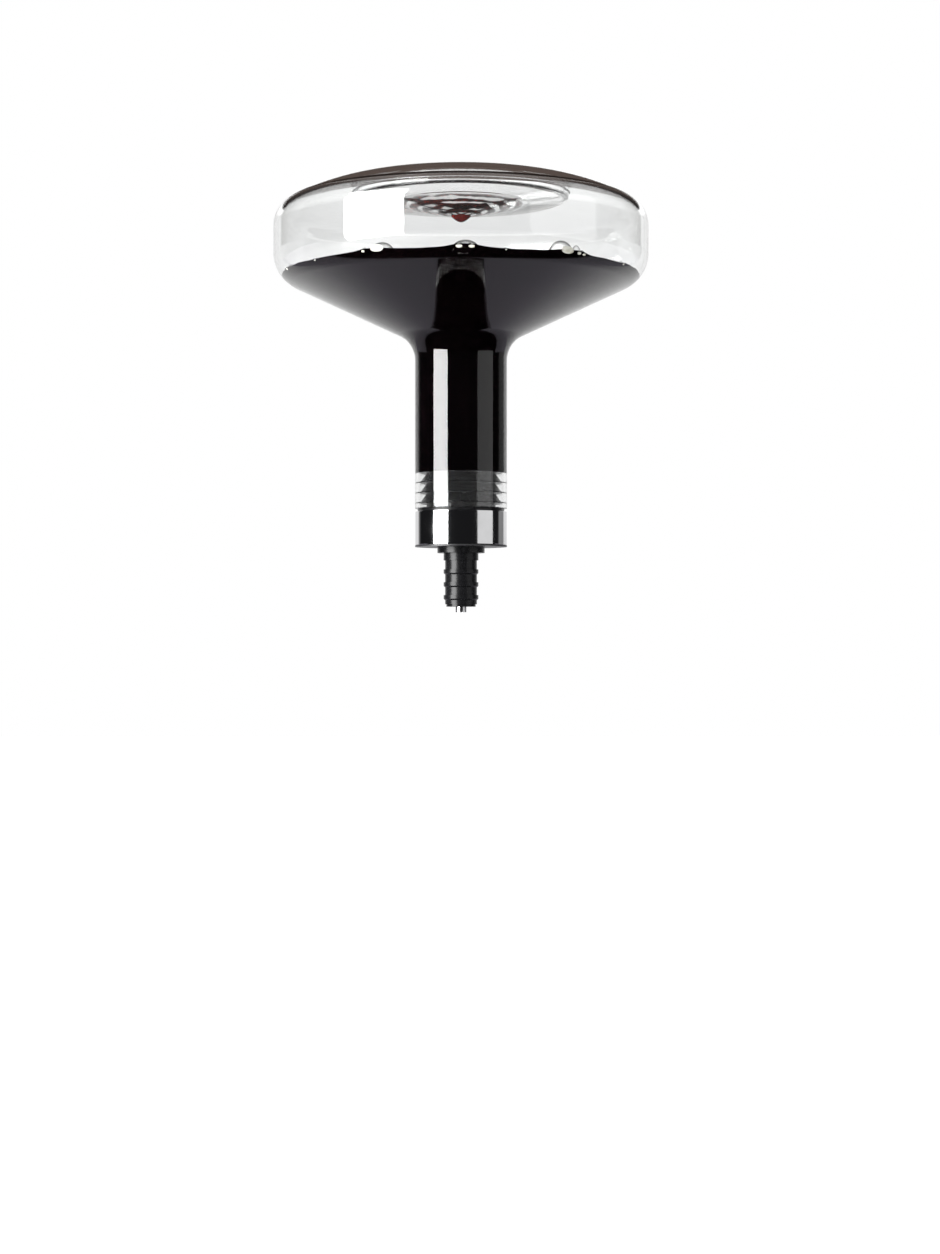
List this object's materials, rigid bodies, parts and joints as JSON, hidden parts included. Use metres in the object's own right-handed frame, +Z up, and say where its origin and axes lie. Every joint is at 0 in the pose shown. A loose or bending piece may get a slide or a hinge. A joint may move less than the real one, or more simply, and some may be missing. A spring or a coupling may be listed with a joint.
{
  "type": "aerating wine carafe",
  "caption": "Wide clear glass wine carafe on a steel-collared stopper that plugs a bottle's neck, so wine runs through it and spreads over the glass to take in air.",
  "frame": {"origin": "on the stopper's axis, in the plane of the bottle's lip: the top of the bung's ribbed part and the underside of its flange", "axes": "+Z up along the axis from the bottle into the carafe, as the pair stands neck down on a bottle; X and Y are free, because the object is round"},
  "size_m": [0.2042, 0.2042, 0.2342],
  "materials": {
    "clear_glass": "clear blown soda-lime glass, fire polished",
    "black_silicone": "satin moulded silicone",
    "polished_steel": "mirror polished stainless steel",
    "tube_steel": "drawn stainless tube",
    "black_plastic": "fine moulded food-safe plastic",
    "wine": null
  },
  "bodies": {
    "stopper": {"neck_seal": "black_silicone", "lip_washer": "black_silicone", "steel_collar": "polished_steel", "collar_o_ring": "black_silicone", "flow_core": "black_plastic", "tube_o_ring": "black_silicone", "socket_o_ring": "black_silicone", "base_plate": "black_plastic", "bottle_bung": "black_silicone"},
    "tube_unit": {"air_tube": "tube_steel", "wine_spreader": "black_plastic"},
    "carafe": {"glass_carafe": "clear_glass"}
  },
  "joints": [
    {"name": "carafe_lift", "type": "slide", "parent": "stopper", "child": "carafe", "axis": [0, 0, 1], "range_m": [0, 0.08]},
    {"name": "air_tube_pull", "type": "slide", "parent": "stopper", "child": "tube_unit", "axis": [0, 0, 1], "range_m": [0, 0.08]}
  ]
}
